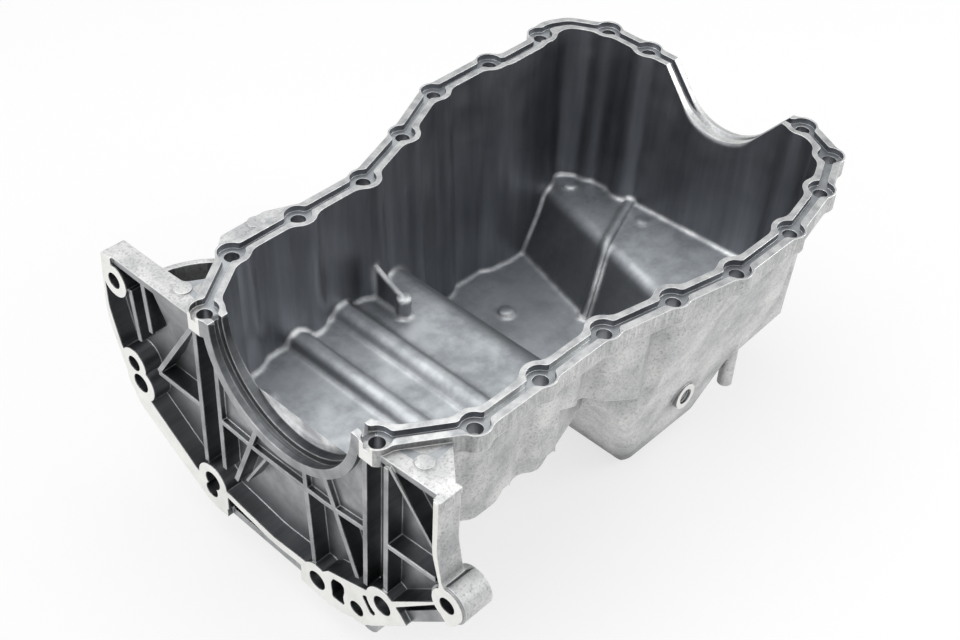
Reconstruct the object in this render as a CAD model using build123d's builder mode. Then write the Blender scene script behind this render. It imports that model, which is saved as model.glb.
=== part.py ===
from build123d import *
import os
from math import atan2, cos, degrees, hypot, radians, sin, tan

# Engine oil pan, one aluminium die casting, in millimetres.
# X runs along the crankshaft from the bell-housing joint face, Y across the engine, Z up.
# The origin is where the crankshaft axis, in the sump joint face, meets the bell-housing face.

# Sump joint: bolt centres on the -Y side and on the +Y side
near_bolts = [(8, -67), (50, -94.5), (100, -94.5), (152, -94.5), (200, -104.5)]
near_bolts += [(246, -114.5), (299, -114.5), (346, -104.5), (380, -88.5), (395, -58)]
far_bolts = [(8, 67), (50, 94.5), (100, 94.5), (152, 94.5), (202, 111.5)]
far_bolts += [(250, 131.5), (303, 131.5), (354, 131), (394.5, 103.5), (394.5, 68)]
sump_bolts = near_bolts + far_bolts
bolt_bore = 9

# Corners of the seal groove's centreline, each with its bend radius
groove_front_x = 393
near_turns = [(near_bolts[0], 6), (near_bolts[1], 30), (near_bolts[3], 60), (near_bolts[5], 60)]
near_turns += [(near_bolts[6], 60), (near_bolts[7], 60), ((381, -88.5), 12), ((groove_front_x, -64), 20)]
far_turns = [((groove_front_x, 104), 9), ((380, 127), 14), ((366, 134), 14), ((354, 131.5), 12)]
far_turns += [((344, 125), 8), ((311, 125), 8), ((302, 132), 8), ((248, 132), 40)]
far_turns += [(far_bolts[4], 40), (far_bolts[3], 40), (far_bolts[1], 30), (far_bolts[0], 6)]

# Rail that carries the seal
rail_thickness = 12
rail_outward = 7
rail_inward = 6.5
outer_lobe = 9.3
outer_blend = 8
inner_lobe = 11.5
inner_blend = 12
groove_width = 5
groove_depth = 4
pocket_radius = 8.2
pocket_blend = 3

# Walls of the sump
wall = 4
draft = 2.7
rear_wall_x = 12.5
near_slope = 12
near_slope_y = -110.5
near_edge_radius = 10

# Floor, from the bell housing to the front of the engine
shallow_depth = 83
deep_depth = 166
shelf_depth = 122
shelf_slope = 7
ridges = [(86, 18, 7), (123.5, 19, 6)]
ridge_crown = 9
ridge_round = 3
crown_round = 6
drop_x = 185.4
drop_run = 34.6
drop_round = 26
deep_round = 6
riser_x = 315
riser_y = 66
riser_run = 25
riser_angle = 15.5
riser_round = 12

# Relief under the -Y wall, between its fourth and fifth bolts
relief_top = ((125, -47), (205, -85))
relief_corners = [(122, -140), (122, -93), (134, -83), (171, -72), (197, -92), (205, -97), (205, -140)]

# Bead that stiffens the riser and the shelf
bead_start = (303, 31)
bead_end = (388, 60)
bead_width = 6
bead_height = 2.5

# Seal saddles
rear_seal_radius = 55.5
rear_ring_wall = 6
rear_ring_x = 1
front_seal_top = 47
front_seal_knee = (28, -23)
front_seal_depth = 34.5
front_rim = 9
front_lip_end = 399
front_wall_sink = 8

# Bell-housing flange: centre (y, z), bore and boss radius of each hole
small_bore = 10.5
large_bore = 13
small_boss = 10.8
large_boss = 12.4
small_holes = [(139.2, -19.5), (130.5, -78), (65.5, -137), (-59, -136.5), (-126, -73.5)]
large_holes = [(126, -91), (64, -128), (-26.5, -140.5), (-79, -116)]
bell_depth = 16
bell_web = 4
lug_radius = 12.2
lug_depth = 21
foot_center = (-62, -149)
foot_radius = 8.5
foot_x = 6
foot_depth = 14
apron_x = 5
apron_corners = [(-64.5, -15), (-64.5, -69), (0, -72), (53, -71), (53, -15)]
panel_span = (72, 104)
panel_depth = 50

# Edge of the bell-housing flange and of its bay, corner (y, z) and bend radius
bell_corners = [((149, -4), 1), ((151.5, -52), 60), ((131, -109), 25), ((66, -149.5), 20)]
bell_corners += [((-42, -152.5), 30), ((-69, -142.5), 15), ((-134, -82.5), 6), ((-137, -68), 8)]
bell_corners += [((-122, -62), 6), ((-117.5, -40), 40), ((-117.5, -4), 1)]
bay_corners = [((140.5, 6), 1), ((140.5, -16), 1), ((148.5, -20), 1), ((148.5, -44), 30), ((141, -70), 8)]
bay_corners += [((118, -101), 2), ((78, -129), 2), ((58, -127), 2), ((12, -134), 60), ((-28, -132), 2)]
bay_corners += [((-36, -124), 2), ((-66, -114), 2), ((-86, -106), 2), ((-118, -77.5), 2)]
bay_corners += [((-120, -62), 2), ((-114.5, -42), 30), ((-114, 6), 1)]
slots = [
    [((51, -132), 1), ((12, -139), 60), ((-13, -138.5), 1), ((-13, -147), 1), ((51, -145), 1)],
    [((-38, -132), 3), ((-40, -127), 3), ((-49, -125), 3), ((-49, -143), 2), ((-39, -144), 2)],
    [((-63, -121), 2), ((-67, -118), 2), ((-74, -128), 2), ((-71, -132.5), 2)],
    [((-89, -108), 1), ((-118, -79.5), 1), ((-122, -83.5), 1), ((-93, -111), 1)],
]
low_edges = [
    [(52, -143), (-13, -146), (-13, -160), (52, -160)],
    [(-92, -110), (-121.5, -83), (-132, -94), (-102, -121)],
]
low_edge_depth = 4

# Ribs of the bay, from end to end (y, z), and the plates that close its top corners (x, y)
ribs = [
    ((69.5, -14), (69.5, -116)),
    ((53, -30), (53, -110)),
    ((-64.5, -11), (-64.5, -112)),
    ((-80, -8), (-80, -106)),
    ((108, -71), (69.5, -71)),
    ((53, -71), (22, -72.5)),
    ((22, -72.5), (-33, -71)),
    ((-33, -71), (-64.5, -67)),
    ((-80, -66), (-116, -63)),
    ((71, -12), (108, -70)),
    ((127, -20), (123, -56)),
    ((114, -8), (111, -42)),
    ((22, -57), (43, -112)),
    ((-17, -57), (-23, -130)),
    ((-33, -50), (-58, -112)),
]
thin_ribs = [((15, -74), (33, -105)), ((-82, -6), (-114, -41))]
rib_thickness = 3
thin_rib_thickness = 1.6
rib_step = 1.5
plate_top = -4
plate_thickness = 4
far_plate = [((1.5, 62), 1), ((1.5, 149), 1), ((14, 147), 2), ((16.4, 111.4), 8), ((17, 96), 5)]
far_plate += [((29, 89), 2), ((40, 86), 1), ((40, 62), 1)]
near_plate = [((3, -62), 1), ((3, -80), 1), ((4.5, -112.3), 0.5), ((1, -113), 0.5), ((1, -117.5), 0.5)]
near_plate += [((17.2, -117.5), 0.5), ((16.8, -113), 0.5), ((33.5, -95), 1), ((45, -88), 1), ((45, -62), 1)]
gusset_arc = ((15, 112), (30.5, 106.5), (44, 96))
gusset_thickness = 3.5
gusset_height = 14

# Pad outside the rail, between the second and third bolts of the +Y side
pad_top = -1
pad_corners = [((38, 94), 1), ((48, 104), 1), ((55.5, 110.5), 3), ((88, 111), 8), ((112, 101), 1), ((112, 94), 1)]

# Drain boss in the -Y wall
drain_center = (253, -122)
drain_bore = 11
drain_boss_radius = 9
drain_boss_face_y = -92
drain_boss_depth = 16

# Post under the shelf
post_center = (309, -86)
post_radius = 5
post_top = -100
post_end = -150

# Boss of the pick-up pipe's bracket and the fin that ties it to the +Y wall
pickup_center = (149, 55.5)
pickup_radius = 4.7
pickup_top = -69
fin_thickness = 2.5
fin_top = -57

# Ejector pin marks
ejector_radius = 5.3
ejector_height = 0.8
shelf_marks = [(368, 103), (371, 37)]
deep_mark = (269, 73)
deep_mark_height = 2.5

# A length past the casting in every direction, for blocks that only cut
beyond = 600


def rounded(corners):
    # closed outline through corners given as (point, bend radius)
    with BuildSketch() as outline:
        with BuildLine():
            points = [point for point, bend in corners]
            FilletPolyline(*points, radius=[bend for point, bend in corners], close=True)
        make_face()
    return outline.sketch


def bars(spans, width):
    # straight ribs between pairs of points
    with BuildSketch() as rows:
        for (y_start, z_start), (y_end, z_end) in spans:
            run, rise = y_end - y_start, z_end - z_start
            with Locations(((y_start + y_end) / 2, (z_start + z_end) / 2)):
                Rectangle(hypot(run, rise), width, rotation=degrees(atan2(rise, run)))
    return rows.sketch


def rail_outline():
    # outer edge of the rail: a constant margin with a lobe at each bolt, blended in
    with BuildSketch() as outline:
        offset(groove_loop, amount=rail_outward)
        with Locations(*sump_bolts):
            Circle(outer_lobe)
        offset(amount=outer_blend)
        offset(amount=-outer_blend)
    return outline.sketch


def mouth_outline():
    # inner edge of the rail, which the wall follows: it waves inward round each bolt
    with BuildSketch() as outline:
        offset(groove_loop, amount=-rail_inward)
        with Locations(*sump_bolts):
            Circle(inner_lobe, mode=Mode.SUBTRACT)
        with Locations((rear_wall_x, 0)):
            Rectangle(beyond, beyond, align=(Align.MAX, Align.CENTER), mode=Mode.SUBTRACT)
        offset(amount=-inner_blend)
        offset(amount=inner_blend)
    return outline.sketch


def groove_outline():
    # seal groove with its widening round each bolt
    with BuildSketch() as outline:
        offset(groove_loop, amount=groove_width / 2)
        offset(groove_loop, amount=-groove_width / 2, mode=Mode.SUBTRACT)
        with Locations(*sump_bolts):
            Circle(pocket_radius)
        offset(amount=pocket_blend)
        offset(amount=-pocket_blend)
    return outline.sketch


def below_floor(sink):
    # everything under the floor of the sump, lowered by sink along its own normal
    corners = []
    for center, span, height in ridges:
        corners.append(((center - span / 2, -shallow_depth), ridge_round))
        corners.append(((center - ridge_crown / 2, height - shallow_depth), crown_round))
        corners.append(((center + ridge_crown / 2, height - shallow_depth), crown_round))
        corners.append(((center + span / 2, -shallow_depth), ridge_round))
    corners.append(((drop_x, -shallow_depth), drop_round))
    corners.append(((drop_x + drop_run, -deep_depth), deep_round))
    points = [(-beyond, -shallow_depth)] + [point for point, bend in corners] + [(beyond, -deep_depth)]
    with BuildPart() as block:
        with BuildSketch(Plane.XZ):
            with BuildLine():
                path = FilletPolyline(*points, radius=[bend for point, bend in corners])
                Polyline(path @ 1, (beyond, -beyond), (-beyond, -beyond), path @ 0)
            make_face()
            offset(amount=-sink)
        extrude(amount=beyond, both=True)
        with BuildSketch(riser_plane):
            shelf_rise = (beyond - riser_run) * tan(radians(shelf_slope))
            with BuildLine():
                path = FilletPolyline(
                    (-riser_run, shelf_depth - 2 * deep_depth),
                    (riser_run, -shelf_depth),
                    (beyond, shelf_rise - shelf_depth),
                    radius=riser_round,
                )
                Polyline(path @ 1, (beyond, -beyond), path @ 0)
            make_face()
            offset(amount=-sink)
        extrude(amount=beyond, both=True)
    return block.part


def beyond_near_side(sink):
    # everything outside the steeper wall of the sump on the -Y side and the bend under it
    slope = tan(radians(near_slope))
    top = near_slope_y - sink / cos(radians(near_slope))
    bottom = -deep_depth - sink
    with BuildPart() as block:
        with BuildSketch(Plane.YZ):
            with BuildLine():
                path = FilletPolyline(
                    (top, 0),
                    (top - bottom * slope, bottom),
                    (beyond, bottom),
                    radius=near_edge_radius + sink,
                )
                Polyline(path @ 1, (beyond, -beyond), (-beyond, -beyond), (-beyond, 0), path @ 0)
            make_face()
        extrude(amount=beyond)
    return block.part


def relief(grow):
    # hollow under the -Y wall, made larger all round by grow
    (x_start, z_start), (x_end, z_end) = relief_top
    with BuildPart() as block:
        with BuildSketch(Plane.XZ):
            Polygon((x_start, z_start), (x_end, z_end), (x_end, -beyond), (x_start, -beyond), align=None)
            offset(amount=grow)
        extrude(amount=beyond)
        with BuildSketch():
            Polygon(*relief_corners, align=None)
            offset(amount=grow)
        extrude(amount=-beyond, mode=Mode.INTERSECT)
    return block.part


def front_seal_opening():
    # half-open trough over the front crankshaft seal, in the (y, z) plane
    knee_y, knee_z = front_seal_knee
    with BuildSketch() as opening:
        with BuildLine():
            flank = Polyline(
                (knee_y, knee_z),
                (front_seal_top, 0),
                (front_seal_top, rail_thickness),
                (-front_seal_top, rail_thickness),
                (-front_seal_top, 0),
                (-knee_y, knee_z),
            )
            ThreePointArc(flank @ 0, (0, -front_seal_depth), flank @ 1)
        make_face()
    return opening.sketch


def shelf_height(x, y):
    # level of the shelf's surface at (x, y)
    along = (x - riser_x) * cos(radians(riser_angle)) - (y - riser_y) * sin(radians(riser_angle))
    return (along - riser_run) * tan(radians(shelf_slope)) - shelf_depth


riser_plane = Plane(
    origin=(riser_x, riser_y, 0),
    x_dir=(cos(radians(riser_angle)), -sin(radians(riser_angle)), 0),
    z_dir=(-sin(radians(riser_angle)), -cos(radians(riser_angle)), 0),
)
groove_loop = rounded(near_turns + far_turns)
mouth = mouth_outline()
rear_groove_x = near_bolts[0][0] - groove_width / 2
end_wall_x = groove_front_x - rail_inward

# Outside of the sump
with BuildPart() as shell:
    with BuildSketch():
        offset(mouth, amount=wall)
    extrude(amount=-deep_depth - 2 * wall, taper=draft)
    add(beyond_near_side(wall), mode=Mode.SUBTRACT)
    add(below_floor(wall), mode=Mode.SUBTRACT)
    add(relief(0), mode=Mode.SUBTRACT)

# Space inside the sump
with BuildPart() as cavity:
    with BuildSketch():
        add(mouth)
    extrude(amount=-deep_depth - wall, taper=draft)
    add(beyond_near_side(0), mode=Mode.SUBTRACT)
    add(below_floor(0), mode=Mode.SUBTRACT)
    add(relief(wall), mode=Mode.SUBTRACT)

# Bead over the riser and the shelf, as high above them along its whole length
with BuildPart() as bead:
    bead_run, bead_rise = bead_end[0] - bead_start[0], bead_end[1] - bead_start[1]
    with BuildSketch():
        with Locations(((bead_start[0] + bead_end[0]) / 2, (bead_start[1] + bead_end[1]) / 2)):
            Rectangle(hypot(bead_run, bead_rise), bead_width, rotation=degrees(atan2(bead_rise, bead_run)))
    extrude(amount=-beyond)
    add(below_floor(-bead_height), mode=Mode.INTERSECT)
    add(shell.part, mode=Mode.INTERSECT)

# Flange that carries the gearbox: rim, bay with ribs, bosses and back web
with BuildPart() as bell_flange:
    with BuildSketch(Plane.YZ):
        add(rounded(bell_corners))
    extrude(amount=bell_depth)
    with BuildSketch(Plane.YZ):
        add(rounded(bay_corners))
        for slot in slots:
            add(rounded(slot))
    extrude(amount=bell_depth - bell_web, mode=Mode.SUBTRACT)
    with BuildSketch(Plane.YZ):
        for low_edge in low_edges:
            Polygon(*low_edge, align=None)
    extrude(amount=low_edge_depth, mode=Mode.SUBTRACT)
    with BuildSketch(Plane.YZ.offset(apron_x)):
        Polygon(*apron_corners, align=None)
    extrude(amount=bell_depth - apron_x)
    with BuildSketch(Plane.YZ.offset(rib_step)):
        add(bars(ribs, rib_thickness))
        add(bars(thin_ribs, thin_rib_thickness))
    extrude(amount=bell_depth - rib_step)
    with BuildSketch(Plane.XZ.offset(-panel_span[1])):
        Polygon(
            (rib_step, plate_top),
            (rib_step, plate_top - plate_thickness),
            (bell_depth - bell_web, -panel_depth),
            (bell_depth, -panel_depth),
            (bell_depth, plate_top),
            align=None,
        )
    extrude(amount=panel_span[1] - panel_span[0])
    with BuildSketch(Plane.XY.offset(plate_top)):
        add(rounded(far_plate))
        add(rounded(near_plate))
    extrude(amount=-plate_thickness)
    with BuildSketch(Plane.XY.offset(plate_top)):
        with BuildLine():
            ThreePointArc(*gusset_arc)
        trace(line_width=gusset_thickness)
    extrude(amount=-gusset_height)
    with BuildSketch(Plane.YZ):
        with Locations(*small_holes):
            Circle(small_boss)
        with Locations(*large_holes):
            Circle(large_boss)
    extrude(amount=bell_depth)
    with BuildSketch(Plane.YZ.offset(rib_step)):
        with Locations(small_holes[-1]):
            Circle(lug_radius)
    extrude(amount=lug_depth - rib_step)
    with BuildSketch(Plane.YZ.offset(foot_x)):
        with Locations(foot_center):
            Circle(foot_radius)
    extrude(amount=foot_depth)

# Everything that the casting adds to the sump's walls, and what is cut out of it
with BuildPart() as pan_casting:
    add(shell.part)
    with BuildSketch():
        add(rail_outline())
    extrude(amount=-rail_thickness)
    with BuildSketch(Plane.XY.offset(pad_top)):
        add(rounded(pad_corners))
    extrude(amount=-rail_thickness - pad_top)
    add(bell_flange.part)
    with BuildSketch(Plane.YZ.offset(rear_ring_x)):
        Circle(rear_seal_radius + rear_ring_wall)
        Rectangle(beyond, beyond, align=(Align.CENTER, Align.MIN), mode=Mode.SUBTRACT)
    extrude(amount=rear_wall_x - rear_ring_x)
    with BuildSketch(Plane.YZ.offset(end_wall_x)):
        offset(front_seal_opening(), amount=front_rim)
        Rectangle(beyond, beyond, align=(Align.CENTER, Align.MIN), mode=Mode.SUBTRACT)
    extrude(amount=front_lip_end - end_wall_x)
    with BuildSketch(Plane.XZ.offset(-drain_boss_face_y)):
        with Locations(drain_center):
            Circle(drain_boss_radius)
    extrude(amount=-drain_boss_depth)
    with BuildSketch(Plane.XY.offset(post_top)):
        with Locations(post_center):
            Circle(post_radius)
    extrude(amount=post_end - post_top)
    add(cavity.part, mode=Mode.SUBTRACT)

    # inside the sump
    add(bead.part)
    with BuildSketch(Plane.XY.offset(pickup_top)):
        with Locations(pickup_center):
            Circle(pickup_radius)
    extrude(amount=-shallow_depth - wall / 2 - pickup_top)
    with BuildSketch(Plane.YZ.offset(pickup_center[0] - fin_thickness / 2)):
        fin_reach = far_bolts[3][1] - inner_lobe
        Polygon(
            (pickup_center[1], -shallow_depth - wall / 2),
            (pickup_center[1], pickup_top),
            (fin_reach, fin_top),
            (fin_reach, -shallow_depth - wall / 2),
            align=None,
        )
    extrude(amount=fin_thickness)

    # marks of the ejector pins
    marks = [((78, 106), pad_top), ((12.8, 91.8), plate_top), ((15.3, -93.3), plate_top)]
    marks += [((41.7, 60), -shallow_depth), (deep_mark, -deep_depth + deep_mark_height - ejector_height)]
    marks += [((x, y), shelf_height(x, y)) for x, y in shelf_marks]
    for place, level in marks:
        with BuildSketch(Plane.XY.offset(level + ejector_height)):
            with Locations(place):
                Circle(ejector_radius)
        extrude(amount=-deep_mark_height - ejector_height)

    # seal groove, saddles and bores
    with BuildSketch():
        add(groove_outline())
    extrude(amount=-groove_depth, mode=Mode.SUBTRACT)
    with BuildSketch(Plane.YZ):
        Circle(rear_seal_radius)
    extrude(amount=rear_wall_x + wall, mode=Mode.SUBTRACT)
    with BuildSketch(Plane.YZ.offset(rear_groove_x)):
        Circle(rear_seal_radius + groove_depth)
    extrude(amount=groove_width, mode=Mode.SUBTRACT)
    with BuildSketch(Plane.YZ.offset(end_wall_x - front_wall_sink)):
        add(front_seal_opening())
    extrude(amount=beyond, mode=Mode.SUBTRACT)
    with BuildSketch(Plane.YZ.offset(groove_front_x - groove_width / 2)):
        offset(front_seal_opening(), amount=groove_depth)
    extrude(amount=groove_width, mode=Mode.SUBTRACT)
    with BuildSketch():
        with Locations(*sump_bolts):
            Circle(bolt_bore / 2)
    extrude(amount=-rail_thickness - plate_thickness, mode=Mode.SUBTRACT)
    with BuildSketch(Plane.YZ):
        with Locations(*small_holes):
            Circle(small_bore / 2)
        with Locations(*large_holes):
            Circle(large_bore / 2)
    extrude(amount=lug_depth, mode=Mode.SUBTRACT)
    with BuildSketch(Plane.XZ.offset(-drain_boss_face_y)):
        with Locations(drain_center):
            Circle(drain_bore / 2)
    extrude(amount=-2 * drain_boss_depth, mode=Mode.SUBTRACT)

    # the bell-housing face is milled flat over rim, bosses and rail
    with BuildSketch(Plane.YZ):
        Rectangle(beyond, beyond)
    extrude(amount=-beyond, mode=Mode.SUBTRACT)

os.makedirs("parts", exist_ok=True)
pan_casting.part.label = "pan_casting"
export_step(pan_casting.part, "parts/pan_casting.step")
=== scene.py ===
import bmesh
import bpy
import math
from mathutils import Matrix, Vector
from mathutils.bvhtree import BVHTree


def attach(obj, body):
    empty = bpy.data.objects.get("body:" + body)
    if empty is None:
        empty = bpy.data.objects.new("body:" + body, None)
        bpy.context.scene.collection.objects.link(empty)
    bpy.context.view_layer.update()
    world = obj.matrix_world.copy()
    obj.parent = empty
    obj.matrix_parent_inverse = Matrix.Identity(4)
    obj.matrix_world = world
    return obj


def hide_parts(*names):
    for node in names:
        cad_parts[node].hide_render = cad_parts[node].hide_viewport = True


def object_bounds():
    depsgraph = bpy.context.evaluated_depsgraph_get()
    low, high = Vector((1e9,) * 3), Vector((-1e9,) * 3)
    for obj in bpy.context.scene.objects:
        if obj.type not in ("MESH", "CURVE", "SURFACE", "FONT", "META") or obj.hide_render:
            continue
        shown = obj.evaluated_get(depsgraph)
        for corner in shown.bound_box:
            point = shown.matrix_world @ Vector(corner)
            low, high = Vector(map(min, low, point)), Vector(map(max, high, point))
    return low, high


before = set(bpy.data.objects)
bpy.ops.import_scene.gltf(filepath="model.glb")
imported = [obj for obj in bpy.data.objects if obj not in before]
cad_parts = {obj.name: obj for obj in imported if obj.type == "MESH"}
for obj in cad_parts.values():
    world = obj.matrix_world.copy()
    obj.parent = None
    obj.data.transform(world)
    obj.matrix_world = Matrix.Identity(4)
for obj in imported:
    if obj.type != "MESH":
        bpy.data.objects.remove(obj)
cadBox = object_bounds()
scene = bpy.context.scene
print("casting loaded")


def hexColour(text):
    # sRGB hex to linear RGBA
    out = []
    for i in (0, 2, 4):
        c = int(text[i:i + 2], 16) / 255
        out.append(c / 12.92 if c <= 0.04045 else ((c + 0.055) / 1.055) ** 2.4)
    return (*out, 1.0)


def addNode(tree, kind, settings=None, **links):
    # one node with its attributes, and its inputs linked or filled in, by name or as i0, i1, ...
    node = tree.nodes.new(kind)
    for key, value in (settings or {}).items():
        setattr(node, key, value)
    for key, value in links.items():
        numbered = key[0] == "i" and key[1:].isdigit()
        socket = node.inputs[int(key[1:])] if numbered else node.inputs[key.replace("_", " ")]
        if isinstance(value, bpy.types.NodeSocket):
            tree.links.new(value, socket)
        else:
            socket.default_value = value
    return node


def emptyMaterial(name):
    material = bpy.data.materials.new(name)
    material.use_nodes = True
    material.node_tree.nodes.clear()
    return material, material.node_tree


# the camera, fitted to the joint plane and the holes: its own axes and where it stands, metres
cameraSetup = {
    "place": (-0.36549, -0.45479, 0.5560),
    "right": (0.68412602, -0.72805568, 0.04366361),
    "up": (0.46106487, 0.47807888, 0.74756925),
    "back": (-0.56514668, -0.49129982, 0.6627471),
    "lens": 58.195,
}


def makeCamera(setup):
    data = bpy.data.cameras.new("camera")
    data.sensor_width = 36
    data.sensor_fit = "HORIZONTAL"
    data.lens = setup["lens"]
    data.clip_start = 0.01
    camera = bpy.data.objects.new("camera", data)
    axes = Matrix((setup["right"], setup["up"], setup["back"])).transposed()
    camera.matrix_world = Matrix.Translation(setup["place"]) @ axes.to_4x4()
    scene.collection.objects.link(camera)
    scene.camera = camera


makeCamera(cameraSetup)
print("camera set")


# Die-cast aluminium, tumbled: pale matt grey, clouded by the die spray, finely dimpled and
# specked, with its edges painted bright and painted shade in its hollows.
tumbledSkin = {
    "bright": "d9d9d8",
    "dull": "b2b3b4",
    "speck": "5f6163",
    "trimmed": "8e9091",
    # edge: the colour of the edges, partly rubbed wear and partly painted highlight
    "edge": "efefee",
    "cloudMm": 30.0,
    "speckMm": 1.5,
    "grainMm": 0.8,
    "edgeMm": 1.0,
    "metallic": 0.75,
    "roughness": 0.46,
    "dimpleMm": 0.16,
    "trimMm": 1.1,            # spacing of the marks where the trim die sheared the rail's edge
    "trimBelow": -0.0125,     # the sheared band reaches down to here, metres
    "hollowShadeMm": 22.0,         # hollows, flutes and the underside of the rail are painted darker within this reach
    "paintedHollowShade": 0.42,
}

# The same alloy as it leaves the die: faces square to the draw are painted light and satin, walls along
# the draw painted dark, partly for their drag marks and partly as painted shade, with streaks that run the
# way the die opened.
sumpSkin = {
    "name": "drawnSumpSkin",
    "draw": (0, 0, 1),
    "wallDark": "6b6d72",
    "wallLight": "93959a",
    "floorDull": "8d9195",
    "floorBright": "b5b9bc",
    # seam colour: a painted highlight along the rounded seams between floors and walls
    "seamHighlight": "f4f5f5",
    "streakMm": 6.0,
    "cloudMm": 24.0,
    "roughness": 0.42,
    "seamMm": 6.5,
    "edgeMm": 0.6,
    "seamTop": -0.022,        # the soft seams start below this height, metres
    "deepFrom": -0.12,        # painted light: the floor is painted lighter between these two heights
    "deepTo": -0.16,
    "paintedDeepLight": 1.2,
    "nearWallShadeFrom": -0.035,       # and painted shade, darker between these two places in y, towards the near wall
    "nearWallShadeTo": -0.085,
    "paintedNearWallShade": 0.75,
}
baySkin = {
    "name": "drawnBaySkin",
    "draw": (-1, 0, 0),
    "wallDark": "525457",
    "wallLight": "727476",
    "floorDull": "8d8f91",
    "floorBright": "adaeb0",
    # seam colour: a painted highlight along the rounded seams between floors and walls
    "seamHighlight": "c8c9c9",
    "streakMm": 3.0,
    "cloudMm": 18.0,
    "roughness": 0.4,
    "seamMm": 1.3,
    "edgeMm": 1.3,
    "seamTop": 1.0,
}

# Joint faces planed with a face mill: bright and even, with a faint lay across the cut.
railFinish = {
    "name": "milledRail",
    "bright": "c2c3c3",
    "dull": "999b9d",
    # edge: a painted highlight along the milled faces' edges
    "edge": "f2f2f1",
    "layMm": 0.9,
    "stainMm": 9.0,
    "edgeMm": 0.7,
    "roughness": 0.36,
}
bellFinish = {
    "name": "milledBellFace",
    "bright": "f4f4f1",
    "dull": "e4e4e0",
    # edge: a painted highlight along the milled faces' edges
    "edge": "fafaf8",
    "layMm": 0.9,
    "stainMm": 22.0,
    "edgeMm": 0.5,
    "roughness": 0.34,
}


def roundedEdge(tree, radius, strength):
    # a softened normal, and how far it leans from the face: the mask where edges and seams get a painted
    # highlight
    soft = addNode(tree, "ShaderNodeBevel", {"samples": 6}, Radius=radius)
    flat = addNode(tree, "ShaderNodeNewGeometry").outputs["Normal"]
    same = addNode(
        tree, "ShaderNodeVectorMath", {"operation": "DOT_PRODUCT"}, i0=soft.outputs["Normal"], i1=flat)
    mask = addNode(
        tree, "ShaderNodeMapRange", {}, Value=same.outputs["Value"], i1=0.995, i2=0.86, i3=0.0,
        i4=strength)
    return soft.outputs["Normal"], mask.outputs["Result"]


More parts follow.
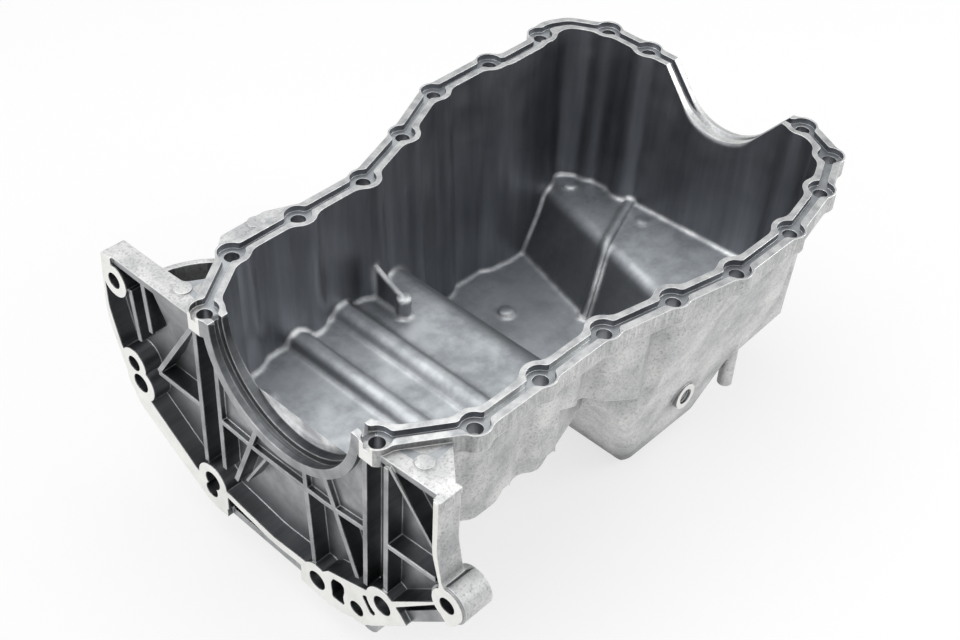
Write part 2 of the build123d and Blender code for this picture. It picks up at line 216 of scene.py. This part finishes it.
def makeTumbledAluminium(values):
    material, tree = emptyMaterial("tumbledCastSkin")
    coords = addNode(tree, "ShaderNodeTexCoord")
    place = coords.outputs["Object"]
    cloud = addNode(
        tree, "ShaderNodeTexNoise", {}, Vector=place, Scale=1000 / values["cloudMm"], Detail=6.0,
        Roughness=0.62)
    speck = addNode(
        tree, "ShaderNodeTexNoise", {}, Vector=place, Scale=1000 / values["speckMm"], Detail=3.0,
        Roughness=0.65)
    grain = addNode(
        tree, "ShaderNodeTexNoise", {}, Vector=place, Scale=1000 / values["grainMm"], Detail=2.0,
        Roughness=0.5)
    cloudy = addNode(tree, "ShaderNodeMapRange", {}, Value=cloud.outputs["Fac"], i1=0.36, i2=0.62)
    skin = addNode(
        tree, "ShaderNodeMix", {"data_type": "RGBA"}, Factor=cloudy.outputs["Result"],
        i6=hexColour(values["dull"]), i7=hexColour(values["bright"]))
    specked = addNode(
        tree, "ShaderNodeMapRange", {}, Value=speck.outputs["Fac"], i1=0.5, i2=0.74, i3=0.0, i4=0.6)
    worn = addNode(
        tree, "ShaderNodeMix", {"data_type": "RGBA"}, Factor=specked.outputs["Result"],
        i6=skin.outputs[2], i7=hexColour(values["speck"]))
    sheared = addNode(
        tree, "ShaderNodeMapping", {}, Vector=place,
        Scale=(1000 / values["trimMm"], 1000 / values["trimMm"], 90.0))
    marks = addNode(
        tree, "ShaderNodeTexNoise", {}, Vector=sheared.outputs["Vector"], Scale=1.0, Detail=2.0)
    height = addNode(tree, "ShaderNodeSeparateXYZ", {}, Vector=place).outputs["Z"]
    band = addNode(
        tree, "ShaderNodeMapRange", {}, Value=height, i1=values["trimBelow"],
        i2=values["trimBelow"] + 0.0015)
    upright = addNode(tree, "ShaderNodeSeparateXYZ", {}, Vector=coords.outputs["Normal"]).outputs["Z"]
    side = addNode(tree, "ShaderNodeMapRange", {}, Value=upright, i1=0.5, i2=0.2)
    onBand = addNode(
        tree, "ShaderNodeMath", {"operation": "MULTIPLY"}, i0=band.outputs["Result"],
        i1=side.outputs["Result"])
    struck = addNode(
        tree, "ShaderNodeMapRange", {}, Value=marks.outputs["Fac"], i1=0.35, i2=0.65, i3=0.0, i4=0.42)
    trim = addNode(
        tree, "ShaderNodeMath", {"operation": "MULTIPLY"}, i0=onBand.outputs["Value"],
        i1=struck.outputs["Result"])
    trimmed = addNode(
        tree, "ShaderNodeMix", {"data_type": "RGBA"}, Factor=trim.outputs["Value"], i6=worn.outputs[2],
        i7=hexColour(values["trimmed"]))
    normal, edges = roundedEdge(tree, values["edgeMm"] / 1000, 0.7)
    # painted shade: the colour is darkened where ambient occlusion finds hollows, flutes and the rail's
    # underside
    clear = addNode(
        tree, "ShaderNodeAmbientOcclusion", {"samples": 6}, Distance=values["hollowShadeMm"] / 1000).outputs["AO"]
    hollowShading = addNode(
        tree, "ShaderNodeMapRange", {}, Value=clear, i1=0.42, i2=0.98, i3=values["paintedHollowShade"], i4=1.0)
    tumbled = addNode(
        tree, "ShaderNodeVectorMath", {"operation": "SCALE"}, i0=trimmed.outputs[2],
        Scale=hollowShading.outputs["Result"])
    # the edges painted lighter: rubbed wear and painted highlight
    colour = addNode(
        tree, "ShaderNodeMix", {"data_type": "RGBA"}, Factor=edges, i6=tumbled.outputs["Vector"],
        i7=hexColour(values["edge"]))
    rough = addNode(
        tree, "ShaderNodeMapRange", {}, Value=cloud.outputs["Fac"], i1=0.3, i2=0.7,
        i3=values["roughness"] + 0.1, i4=values["roughness"] - 0.06)
    dimples = addNode(
        tree, "ShaderNodeMath", {"operation": "MULTIPLY_ADD"}, i0=grain.outputs["Fac"], i1=0.5,
        i2=speck.outputs["Fac"])
    bump = addNode(
        tree, "ShaderNodeBump", {}, Height=dimples.outputs["Value"], Strength=0.5,
        Distance=values["dimpleMm"] / 1000, Normal=normal)
    shader = addNode(
        tree, "ShaderNodeBsdfPrincipled", {}, Base_Color=colour.outputs[2],
        Roughness=rough.outputs["Result"], Normal=bump.outputs["Normal"], Metallic=values["metallic"])
    addNode(tree, "ShaderNodeOutputMaterial", {}, Surface=shader.outputs["BSDF"])
    return material


def shadedFloor(tree, colour, split, values):
    # the floor's colour, with painted light where it lies deep and painted shade by the near wall
    deepLight = addNode(
        tree, "ShaderNodeMapRange", {}, Value=split.outputs["Z"], i1=values["deepFrom"],
        i2=values["deepTo"], i3=1.0, i4=values["paintedDeepLight"])
    nearWallShading = addNode(
        tree, "ShaderNodeMapRange", {}, Value=split.outputs["Y"], i1=values["nearWallShadeFrom"],
        i2=values["nearWallShadeTo"], i3=1.0, i4=values["paintedNearWallShade"])
    tone = addNode(
        tree, "ShaderNodeMath", {"operation": "MULTIPLY"}, i0=deepLight.outputs["Result"],
        i1=nearWallShading.outputs["Result"])
    toned = addNode(
        tree, "ShaderNodeVectorMath", {"operation": "SCALE"}, i0=colour, Scale=tone.outputs["Value"])
    return toned.outputs["Vector"]


def makeDrawnAluminium(values):
    material, tree = emptyMaterial(values["name"])
    coords = addNode(tree, "ShaderNodeTexCoord")
    place = coords.outputs["Object"]
    fine = 1000 / values["streakMm"]
    along = addNode(
        tree, "ShaderNodeMapping", {}, Vector=place,
        Scale=[fine if part == 0 else fine / 14 for part in values["draw"]])
    streak = addNode(
        tree, "ShaderNodeTexNoise", {}, Vector=along.outputs["Vector"], Scale=1.0, Detail=5.0,
        Roughness=0.62)
    band = addNode(
        tree, "ShaderNodeTexNoise", {}, Vector=along.outputs["Vector"], Scale=0.22, Detail=3.0,
        Roughness=0.5)
    cloud = addNode(
        tree, "ShaderNodeTexNoise", {}, Vector=place, Scale=1000 / values["cloudMm"], Detail=6.0,
        Roughness=0.6)
    both = addNode(
        tree, "ShaderNodeMath", {"operation": "MULTIPLY_ADD"}, i0=streak.outputs["Fac"], i1=0.45,
        i2=band.outputs["Fac"])
    dragged = addNode(tree, "ShaderNodeMapRange", {}, Value=both.outputs["Value"], i1=0.5, i2=0.98)
    wall = addNode(
        tree, "ShaderNodeMix", {"data_type": "RGBA"}, Factor=dragged.outputs["Result"],
        i6=hexColour(values["wallDark"]), i7=hexColour(values["wallLight"]))
    cloudy = addNode(tree, "ShaderNodeMapRange", {}, Value=cloud.outputs["Fac"], i1=0.36, i2=0.64)
    floor = addNode(
        tree, "ShaderNodeMix", {"data_type": "RGBA"}, Factor=cloudy.outputs["Result"],
        i6=hexColour(values["floorDull"]), i7=hexColour(values["floorBright"]))
    # walls painted darker and floors lighter by how they face: partly drag marks, partly painted shade and
    # light
    square = addNode(
        tree, "ShaderNodeVectorMath", {"operation": "DOT_PRODUCT"}, i0=coords.outputs["Normal"],
        i1=values["draw"])
    level = addNode(
        tree, "ShaderNodeMapRange", {"interpolation_type": "SMOOTHSTEP"}, Value=square.outputs["Value"],
        i1=0.2, i2=0.85)
    split = addNode(tree, "ShaderNodeSeparateXYZ", {}, Vector=place)
    height = split.outputs["Z"]
    lit = floor.outputs[2]
    if "paintedDeepLight" in values:
        lit = shadedFloor(tree, lit, split, values)
    skin = addNode(
        tree, "ShaderNodeMix", {"data_type": "RGBA"}, Factor=level.outputs["Result"],
        i6=wall.outputs[2], i7=lit)
    radius = addNode(
        tree, "ShaderNodeMapRange", {}, Value=height, i1=values["seamTop"], i2=values["seamTop"] - 0.01,
        i3=values["edgeMm"] / 1000, i4=values["seamMm"] / 1000)
    normal, leaning = roundedEdge(tree, radius.outputs["Result"], 0.85)
    # painted highlight: the rounded seams are painted near white, in patches
    patchy = addNode(
        tree, "ShaderNodeMapRange", {}, Value=cloud.outputs["Fac"], i1=0.4, i2=0.6, i3=0.3, i4=1.0)
    seamHighlightMask = addNode(
        tree, "ShaderNodeMath", {"operation": "MULTIPLY"}, i0=leaning, i1=patchy.outputs["Result"])
    colour = addNode(
        tree, "ShaderNodeMix", {"data_type": "RGBA"}, Factor=seamHighlightMask.outputs["Value"], i6=skin.outputs[2],
        i7=hexColour(values["seamHighlight"]))
    rough = addNode(
        tree, "ShaderNodeMapRange", {}, Value=cloud.outputs["Fac"], i1=0.3, i2=0.7,
        i3=values["roughness"] + 0.08, i4=values["roughness"] - 0.06)
    bump = addNode(
        tree, "ShaderNodeBump", {}, Height=both.outputs["Value"], Strength=0.25, Distance=0.00012,
        Normal=normal)
    shader = addNode(
        tree, "ShaderNodeBsdfPrincipled", {}, Base_Color=colour.outputs[2],
        Roughness=rough.outputs["Result"], Normal=bump.outputs["Normal"], Metallic=1.0)
    addNode(tree, "ShaderNodeOutputMaterial", {}, Surface=shader.outputs["BSDF"])
    return material


def makeMilledAluminium(values):
    material, tree = emptyMaterial(values["name"])
    place = addNode(tree, "ShaderNodeTexCoord").outputs["Object"]
    lay = addNode(
        tree, "ShaderNodeTexWave", {"wave_type": "BANDS", "bands_direction": "DIAGONAL"}, Vector=place,
        Scale=1000 / values["layMm"] / 3, Distortion=1.2, Detail=2.0)
    stain = addNode(
        tree, "ShaderNodeTexNoise", {}, Vector=place, Scale=1000 / values["stainMm"], Detail=5.0,
        Roughness=0.6)
    stained = addNode(tree, "ShaderNodeMapRange", {}, Value=stain.outputs["Fac"], i1=0.38, i2=0.66)
    face = addNode(
        tree, "ShaderNodeMix", {"data_type": "RGBA"}, Factor=stained.outputs["Result"],
        i6=hexColour(values["bright"]), i7=hexColour(values["dull"]))
    normal, edges = roundedEdge(tree, values["edgeMm"] / 1000, 0.85)
    # the edges painted lighter: a painted highlight, as a glint on the chamfers
    colour = addNode(
        tree, "ShaderNodeMix", {"data_type": "RGBA"}, Factor=edges, i6=face.outputs[2],
        i7=hexColour(values["edge"]))
    bump = addNode(
        tree, "ShaderNodeBump", {}, Height=lay.outputs["Fac"], Strength=0.3, Distance=0.00003,
        Normal=normal)
    shader = addNode(
        tree, "ShaderNodeBsdfPrincipled", {}, Base_Color=colour.outputs[2],
        Roughness=values["roughness"], Normal=bump.outputs["Normal"], Metallic=1.0)
    addNode(tree, "ShaderNodeOutputMaterial", {}, Surface=shader.outputs["BSDF"])
    return material


tumbledCastSkin = makeTumbledAluminium(tumbledSkin)
drawnSumpSkin = makeDrawnAluminium(sumpSkin)
drawnBaySkin = makeDrawnAluminium(baySkin)
milledRail = makeMilledAluminium(railFinish)
milledBellFace = makeMilledAluminium(bellFinish)
print("finishes made")


# the casting, dressed from a merged copy of the solid
castingDress = {
    "finishes": [tumbledCastSkin, drawnSumpSkin, drawnBaySkin, milledRail, milledBellFace],
    "sharpAngle": 32,
    "machinedReach": 0.00005,     # how flat a machined face lies, metres
    "bayDepth": 0.0165,           # how far the bell-housing bay reaches in x
    "saddleReach": 0.062,         # radius of the rear seal saddle with its rim
    "portFaceY": -0.092,
    "portAxis": (0.253, -0.122),  # x and z
    "portReach": 0.006,
    "widestBore": 0.0135,
    "widestGroove": 0.019,
    "rayLift": 0.0004,            # rays start this far off the face
    "square": 0.99,               # cosines: square to an axis, and along one
    "nearlySquare": 0.9,
    "along": 0.3,
    "slanted": 0.5,
    "saddleTop": -0.002,          # the saddle lies below this
    "saddleSeat": (0.002, 0.011),
    "saddleDepth": 0.0175,
    "railBottom": -0.0125,
    "flangeDepth": 0.0215,        # how far the flange's bosses reach in x
    "sumpFrom": 0.0124,           # the sump's inside starts here in x
    "grooveFloor": -0.0045,
}

# the five finishes in the order of the list above
tumbled, sump, bay, rail, bell = range(5)


# the two outer faces that meet at the deep sump's bottom corner, and the radius of its rounding
# at each height, metres
deepCorner = {
    "sideOut": (0.0, -0.97815, -0.20791),
    "sidePoint": (0.25, -0.114589, 0.0),
    "dropOut": (-0.92301, 0.0, -0.38478),
    "dropPoint": (0.181708, 0.0, -0.084539),
    "radii": [
        (-0.104, 0.0005), (-0.111, 0.003), (-0.119, 0.0075),
        (-0.128, 0.011), (-0.138, 0.012), (-0.19, 0.012),
    ],
    "arcSteps": 10,
    "clear": 0.005,               # how far the cut stands outside the walls, and past their edge
    "clearEdge": 0.012,
    "weld": 0.000002,
}


def isBlocked(shape, start, direction):
    return shape.ray_cast(start, direction)[0] is not None


def finishOf(face, shape, values):
    # which finish a face of the casting has, from where it lies and what stands over it
    centre, normal = face.calc_center_median(), face.normal
    flat = values["machinedReach"]
    start = centre + normal * values["rayLift"]
    if normal.z > values["square"] and abs(centre.z) < flat:
        return rail
    if normal.x < -values["square"] and abs(centre.x) < flat:
        return bell
    if normal.y < -values["square"] and abs(centre.y - values["portFaceY"]) < flat:
        return bell
    seatFrom, seatTo = values["saddleSeat"]
    onSaddle = math.hypot(centre.y, centre.z) < values["saddleReach"] and centre.z < values["saddleTop"]
    bored = centre.x < values["saddleDepth"] and abs(normal.x) < values["along"]
    if onSaddle and (seatFrom < centre.x < seatTo or bored):
        return bay
    across = shape.ray_cast(start, normal)[3]
    if across is not None and across < values["widestBore"]:
        if centre.z > values["railBottom"] and abs(normal.z) < values["along"]:
            return sump
        if centre.x < values["flangeDepth"] and abs(normal.x) < values["along"]:
            return bay
        portX, portZ = values["portAxis"]
        if math.hypot(centre.x - portX, centre.z - portZ) < values["portReach"]:
            return bay
    up = Vector((0, 0, 1))
    uncovered = not isBlocked(shape, start, up) and isBlocked(shape, start, -up)
    if centre.x > values["sumpFrom"] and uncovered:
        # blocked on three sides or more it is in the sump; at the groove's depth only a narrow place counts
        sides = [Vector((1, 0, 0)), Vector((-1, 0, 0)), Vector((0, 1, 0)), Vector((0, -1, 0))]
        reach = [shape.ray_cast(start, side)[3] for side in sides]
        room = [math.inf if part is None else part for part in reach]
        narrow = min(room[0] + room[1], room[2] + room[3]) < values["widestGroove"]
        inSump = narrow or centre.z < values["grooveFloor"] or normal.z < values["slanted"]
        if inSump and reach.count(None) <= 1:
            return sump
    if flat < centre.x < values["bayDepth"]:
        walled = abs(normal.x) < values["slanted"] and isBlocked(shape, start, normal)
        if normal.x < -values["nearlySquare"] or walled:
            return bay
    return tumbled


def cornerCutter(values):
    # what stands outside the rounding of the deep sump's corner, growing from nothing at the top
    sideOut, dropOut = Vector(values["sideOut"]).normalized(), Vector(values["dropOut"]).normalized()
    level = Vector((0, 0, 1))
    offsets = (sideOut.dot(Vector(values["sidePoint"])), dropOut.dot(Vector(values["dropPoint"])))
    lean = 1 + sideOut.dot(dropOut)
    steps = values["arcSteps"]
    bm = bmesh.new()
    rings = []
    for height, radius in values["radii"]:
        rows = Matrix((sideOut, dropOut, level))
        edge = rows.inverted() @ Vector((offsets[0], offsets[1], height))
        centre = edge - (sideOut + dropOut) * radius / lean
        points = [centre + sideOut.slerp(dropOut, step / steps) * radius for step in range(steps + 1)]
        clear, clearEdge = values["clear"], values["clearEdge"]
        points.append(points[-1] + dropOut * clear)
        points.append(edge + (sideOut + dropOut) * clearEdge)
        points.append(points[0] + sideOut * clear)
        rings.append([bm.verts.new(point) for point in points])
    for upper, lower in zip(rings, rings[1:]):
        for i in range(len(upper)):
            j = (i + 1) % len(upper)
            bm.faces.new((upper[i], upper[j], lower[j], lower[i]))
    bm.faces.new(rings[0])
    bm.faces.new(list(reversed(rings[-1])))
    bmesh.ops.recalc_face_normals(bm, faces=bm.faces)
    mesh = bpy.data.meshes.new("cornerCutter")
    bm.to_mesh(mesh)
    bm.free()
    return bpy.data.objects.new("cornerCutter", mesh)


def roundCorner(mesh, values):
    # the merged copy with the deep sump's bottom corner rounded off
    bm = bmesh.new()
    bm.from_mesh(mesh)
    bmesh.ops.remove_doubles(bm, verts=bm.verts, dist=values["weld"])
    bm.to_mesh(mesh)
    bm.free()
    cutter = cornerCutter(values)
    blank = bpy.data.objects.new("blank", mesh)
    for piece in (cutter, blank):
        scene.collection.objects.link(piece)
    cut = blank.modifiers.new("cut", "BOOLEAN")
    cut.operation, cut.solver, cut.object = "DIFFERENCE", "EXACT", cutter
    graph = bpy.context.evaluated_depsgraph_get()
    rounded = bpy.data.meshes.new_from_object(blank.evaluated_get(graph))
    for piece in (cutter, blank):
        bpy.data.objects.remove(piece)
    return rounded


def dressCasting(values):
    mesh = roundCorner(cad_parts["pan_casting"].data.copy(), deepCorner)
    mesh.name = "sumpCasting"
    mesh.materials.clear()
    for finish in values["finishes"]:
        mesh.materials.append(finish)
    bm = bmesh.new()
    bm.from_mesh(mesh)
    bm.normal_update()
    sharp = math.radians(values["sharpAngle"])
    for edge in bm.edges:
        edge.smooth = len(edge.link_faces) == 2 and edge.calc_face_angle(0) < sharp
    shape = BVHTree.FromBMesh(bm)
    for face in bm.faces:
        face.smooth = True
        face.material_index = finishOf(face, shape, values)
    bm.to_mesh(mesh)
    bm.free()
    casting = bpy.data.objects.new("sumpCasting", mesh)
    scene.collection.objects.link(casting)
    # large flat faces keep their own normals beside the small rounded ones
    weight = casting.modifiers.new("faceWeight", "WEIGHTED_NORMAL")
    weight.keep_sharp = True
    weight.weight = 100
    graph = bpy.context.evaluated_depsgraph_get()
    finished = bpy.data.meshes.new_from_object(casting.evaluated_get(graph))
    casting.modifiers.clear()
    casting.data = finished
    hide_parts("pan_casting")
    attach(casting, "root")
    return casting


casting = dressCasting(castingDress)
print("casting dressed", len(casting.data.polygons), "faces")


# the thread of the port in the near wall, metres
portThread = {
    "place": (0.253, -0.0908, -0.122),
    "wallRadius": 0.0055,
    "pitch": 0.00125,
    "turns": 5.4,
    "ridge": 0.00036,
}


def threadTree(values):
    tree = bpy.data.node_groups.new("tappedThread", "GeometryNodeTree")
    face = tree.interface
    face.new_socket("Geometry", in_out="OUTPUT", socket_type="NodeSocketGeometry")
    for name in ("wallRadius", "pitch", "turns", "ridge"):
        face.new_socket(name, in_out="INPUT", socket_type="NodeSocketFloat").default_value = values[name]
    given = addNode(tree, "NodeGroupInput").outputs
    length = addNode(
        tree, "ShaderNodeMath", {"operation": "MULTIPLY"}, i0=given["pitch"], i1=given["turns"])
    helix = addNode(
        tree, "GeometryNodeCurveSpiral", {}, Resolution=40, Rotations=given["turns"],
        Start_Radius=given["wallRadius"], End_Radius=given["wallRadius"], Height=length.outputs[0])
    profile = addNode(tree, "GeometryNodeCurvePrimitiveCircle", {}, Resolution=4, Radius=given["ridge"])
    ridge = addNode(
        tree, "GeometryNodeCurveToMesh", {}, Curve=helix.outputs["Curve"],
        Profile_Curve=profile.outputs["Curve"], Fill_Caps=True)
    real = addNode(tree, "GeometryNodeRealizeInstances", {}, Geometry=ridge.outputs["Mesh"])
    coat = addNode(
        tree, "GeometryNodeSetMaterial", {}, Geometry=real.outputs["Geometry"], Material=milledRail)
    end = addNode(tree, "NodeGroupOutput")
    tree.links.new(coat.outputs["Geometry"], end.inputs["Geometry"])
    return tree


def makeThread(values):
    holder = bpy.data.objects.new("threadHolder", bpy.data.meshes.new("threadHolder"))
    scene.collection.objects.link(holder)
    modifier = holder.modifiers.new("tappedThread", "NODES")
    modifier.node_group = threadTree(values)
    for item in modifier.node_group.interface.items_tree:
        if item.in_out == "INPUT":
            modifier[item.identifier] = values[item.name]
    graph = bpy.context.evaluated_depsgraph_get()
    mesh = bpy.data.meshes.new_from_object(holder.evaluated_get(graph))
    bpy.data.objects.remove(holder)
    # the spiral stands along z: lay it into the port, running into the wall
    mesh.transform(Matrix.Translation(values["place"]) @ Matrix.Rotation(math.radians(-90), 4, "X"))
    bm = bmesh.new()
    bm.from_mesh(mesh)
    bmesh.ops.recalc_face_normals(bm, faces=bm.faces)
    bm.to_mesh(mesh)
    bm.free()
    piece = bpy.data.objects.new("portThread", mesh)
    scene.collection.objects.link(piece)
    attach(piece, "root")
    return piece


thread = makeThread(portThread)
print("thread cut", len(thread.data.polygons), "faces")


# the floor, backdrop and lights: metres and watts
studio = {
    "floorDrop": 0.0005,
    "floorSize": 40.0,
    "floorColour": "fcfcfc",
    "floorGlow": 0.7,             # share of the floor that stays white in the shadow
    "worldStrength": 0.5,
    "lamps": [
        # name, place, aim, width, height, watts
        ("overheadSoftbox", (0.15, 0.25, 1.25), (0.18, 0.0, -0.05), 1.5, 1.2, 9.5),
        ("leftSoftbox", (-1.15, 0.35, 0.75), (0.15, 0.0, -0.05), 0.9, 0.9, 5.0),
        ("rightSoftbox", (1.3, -0.95, 0.55), (0.2, 0.0, -0.08), 0.8, 0.8, 8.0),
    ],
}


def seenRays(tree):
    # rays that should meet the white backdrop: the camera's own, and those in metal and glass
    rays = addNode(tree, "ShaderNodeLightPath").outputs
    first = addNode(
        tree, "ShaderNodeMath", {"operation": "MAXIMUM"}, i0=rays["Is Camera Ray"],
        i1=rays["Is Glossy Ray"])
    both = addNode(
        tree, "ShaderNodeMath", {"operation": "MAXIMUM"}, i0=first.outputs["Value"],
        i1=rays["Is Transmission Ray"])
    return both.outputs["Value"]


def makeStudio(values):
    low = cadBox[0][2] - values["floorDrop"]
    half = values["floorSize"] / 2
    mesh = bpy.data.meshes.new("floor")
    corners = [(-half, -half, low), (half, -half, low), (half, half, low), (-half, half, low)]
    mesh.from_pydata(corners, [], [(0, 1, 2, 3)])
    floor = bpy.data.objects.new("floor", mesh)
    scene.collection.objects.link(floor)
    material, tree = emptyMaterial("paleFloor")
    sheet = addNode(tree, "ShaderNodeBsdfDiffuse", {}, Color=hexColour(values["floorColour"]))
    glow = addNode(tree, "ShaderNodeEmission", {}, Strength=1.0)
    share = addNode(
        tree, "ShaderNodeMath", {"operation": "MULTIPLY"}, i0=seenRays(tree), i1=values["floorGlow"])
    mixed = addNode(
        tree, "ShaderNodeMixShader", {}, i0=share.outputs["Value"], i1=sheet.outputs["BSDF"],
        i2=glow.outputs["Emission"])
    addNode(tree, "ShaderNodeOutputMaterial", {}, Surface=mixed.outputs["Shader"])
    mesh.materials.append(material)
    world = bpy.data.worlds.new("studio")
    scene.world = world
    world.use_nodes = True
    tree = world.node_tree
    tree.nodes.clear()
    strength = addNode(
        tree, "ShaderNodeMix", {"data_type": "FLOAT"}, Factor=seenRays(tree),
        i2=values["worldStrength"], i3=1.0)
    sky = addNode(tree, "ShaderNodeBackground", {}, Color=(1, 1, 1, 1), Strength=strength.outputs[0])
    addNode(tree, "ShaderNodeOutputWorld", {}, Surface=sky.outputs["Background"])
    for name, place, aim, width, height, watts in values["lamps"]:
        lamp = bpy.data.lights.new(name, "AREA")
        lamp.shape = "RECTANGLE"
        lamp.size, lamp.size_y, lamp.energy = width, height, watts
        light = bpy.data.objects.new(name, lamp)
        direction = Vector(aim) - Vector(place)
        turn = direction.to_track_quat("-Z", "Y").to_matrix().to_4x4()
        light.matrix_world = Matrix.Translation(place) @ turn
        scene.collection.objects.link(light)


makeStudio(studio)
scene.view_settings.view_transform = "Standard"
print("studio lit")
